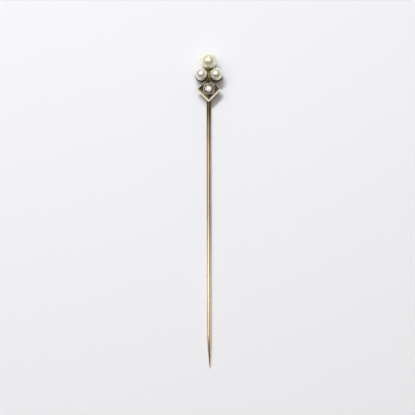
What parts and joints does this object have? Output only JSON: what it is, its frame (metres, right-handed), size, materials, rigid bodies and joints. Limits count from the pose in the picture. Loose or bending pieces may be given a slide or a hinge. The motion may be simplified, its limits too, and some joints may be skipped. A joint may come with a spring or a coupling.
{
  "type": "stick pin",
  "caption": "Antique-style stick pin: trefoil of pearls over a square setting with a round stone, on a straight pointed gold stem.",
  "frame": {"origin": "middle of the pin's footprint on the flat surface that it lies on", "axes": "+Y along the stem towards the head, +Z out of the surface through the front of the head"},
  "size_m": [0.0054, 0.0621, 0.0043],
  "materials": {
    "stem_gold": "polished yellow to rose gold with fine lengthwise wear",
    "head_gold": "polished pale gold",
    "white_metal": "darkened white metal, engraved, bright where it is rubbed",
    "bright_white_metal": "bright-cut white metal",
    "stone": "clear polished cut stone",
    "cream_pearl": "creamy lustrous nacre",
    "silver_pearl": "silvery white lustrous nacre",
    "green_pearl": "silvery nacre with a green overtone"
  },
  "bodies": {
    "root": {"pin_stem": "stem_gold", "gallery": "head_gold", "bezel": "head_gold", "setting_plate": "white_metal", "stone_collet": "bright_white_metal", "diamond": "stone", "milgrain_border": "white_metal", "trefoil_plate": "head_gold", "cup_top": "head_gold", "cup_left": "head_gold", "cup_right": "head_gold", "peg_top": "head_gold", "peg_left": "head_gold", "peg_right": "head_gold", "pearl_top": "cream_pearl", "pearl_left": "silver_pearl", "pearl_right": "green_pearl"}
  },
  "joints": []
}
